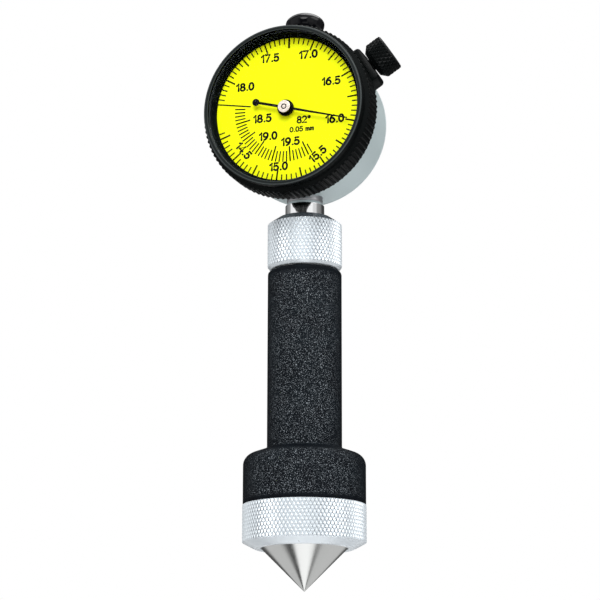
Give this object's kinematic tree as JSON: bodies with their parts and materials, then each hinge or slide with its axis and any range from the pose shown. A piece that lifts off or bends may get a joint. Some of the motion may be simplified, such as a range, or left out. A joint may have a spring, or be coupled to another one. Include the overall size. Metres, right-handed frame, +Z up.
{
  "type": "countersink gauge",
  "caption": "Hand gauge with a spring-loaded cone in a flat nose ring and a dial head on the handle: it reads the rim diameter of a countersunk hole.",
  "frame": {"origin": "centre of the nose ring's flat face, which stands on the work", "axes": "+Z up the handle towards the dial head; the dial faces -Y; +X to the right of the dial's reader"},
  "size_m": [0.0471, 0.0322, 0.1439],
  "materials": {
    "knurled_aluminium": "satin, fine diamond knurl",
    "crackle_paint": "black, fine crackle",
    "ground_steel": "ground",
    "polished_steel": "polished",
    "spring_steel": "drawn wire",
    "bushing_bronze": "turned",
    "case_satin": "satin silver",
    "black_anodised": "satin black",
    "cap_black": "gloss black",
    "crystal_clear": "clear",
    "dial_yellow": "matt yellow with black print",
    "movement_brass": "turned and milled",
    "pointer_black": "matt black",
    "hub_brass": "polished"
  },
  "bodies": {
    "handle": {"handle_body": "crackle_paint", "lower_bushing": "bushing_bronze", "upper_bushing": "bushing_bronze", "split_collet": "ground_steel"},
    "nose_ring": {"nose_ring": "knurled_aluminium"},
    "clamp_nut": {"clamp_nut": "knurled_aluminium"},
    "plunger": {"plunger": "ground_steel", "plunger_clip": "spring_steel", "spring_washer": "spring_steel", "plunger_spring": "spring_steel"},
    "head": {"indicator_case": "case_satin", "indicator_stem": "polished_steel", "stem_bushing": "bushing_bronze", "top_bushing": "bushing_bronze", "spindle_cap": "cap_black", "case_back": "case_satin", "case_back_screws": "polished_steel", "bezel_clamp": "black_anodised", "rear_plate": "movement_brass", "middle_plate": "movement_brass", "front_plate": "movement_brass", "plate_pillars": "movement_brass", "plate_screws": "polished_steel", "hairspring_stud": "movement_brass"},
    "bezel": {"bezel": "black_anodised", "crystal": "crystal_clear", "dial_plate": "dial_yellow", "dial_ring": "spring_steel", "bezel_snap_ring": "spring_steel"},
    "clamp_knob": {"clamp_knob": "black_anodised"},
    "spindle": {"spindle": "polished_steel", "contact_point": "ground_steel", "guide_pin": "polished_steel", "spindle_spring": "spring_steel"},
    "drive_train": {"rack_pinion": "movement_brass", "drive_gear": "movement_brass"},
    "pointer": {"centre_pinion": "movement_brass", "pointer": "pointer_black", "pointer_hub": "hub_brass"},
    "take_up": {"take_up_gear": "movement_brass", "hairspring": "spring_steel"}
  },
  "joints": [
    {"name": "plunger_slide", "type": "slide", "parent": "handle", "child": "plunger", "axis": [0, 0, 1], "range_m": [0, 0.0033], "stiffness_N_per_m": 300, "springref_m": -0.004, "deforming": ["plunger_spring"]},
    {"name": "ring_thread", "type": "hinge", "parent": "handle", "child": "nose_ring", "pos_m": [0, 0, 0.0069], "axis": [0, 0, -1], "range_deg": [0, 360]},
    {"name": "nut_thread", "type": "hinge", "parent": "handle", "child": "clamp_nut", "pos_m": [0, 0, 0.0715], "axis": [0, 0, 1], "range_deg": [0, 180]},
    {"name": "head_swivel", "type": "hinge", "parent": "handle", "child": "head", "pos_m": [0, 0, 0.0735], "axis": [0, 0, 1], "continuous": true},
    {"name": "bezel_turn", "type": "hinge", "parent": "head", "child": "bezel", "pos_m": [0, -0.0098, 0.10467], "axis": [0, 1, 0], "continuous": true},
    {"name": "clamp_screw", "type": "hinge", "parent": "head", "child": "clamp_knob", "pos_m": [0.01729, -0.0049, 0.11568], "axis": [0.8434, 0, 0.5373], "range_deg": [0, 180]},
    {"name": "spindle_slide", "type": "slide", "parent": "head", "child": "spindle", "axis": [0, 0, 1], "range_m": [0, 0.0034], "stiffness_N_per_m": 60, "springref_m": -0.008, "deforming": ["spindle_spring"]},
    {"name": "drive_turn", "type": "hinge", "parent": "head", "child": "drive_train", "pos_m": [-0.003, 0, 0.09725], "axis": [0, 1, 0], "range_deg": [-130, 0]},
    {"name": "pointer_turn", "type": "hinge", "parent": "head", "child": "pointer", "pos_m": [0, 0, 0.10467], "axis": [0, 1, 0], "range_deg": [0, 550]},
    {"name": "take_up_turn", "type": "hinge", "parent": "head", "child": "take_up", "pos_m": [0.0046, 0, 0.10927], "axis": [0, 1, 0], "range_deg": [-170, 0], "deforming": ["hairspring"]}
  ],
  "couplings": [
    {"joint": "spindle_slide", "follows": "plunger_slide", "ratio": 1},
    {"joint": "drive_turn", "follows": "plunger_slide", "rad_per_m": -666.67},
    {"joint": "pointer_turn", "follows": "plunger_slide", "rad_per_m": 2888.9},
    {"joint": "take_up_turn", "follows": "plunger_slide", "rad_per_m": -866.67}
  ]
}
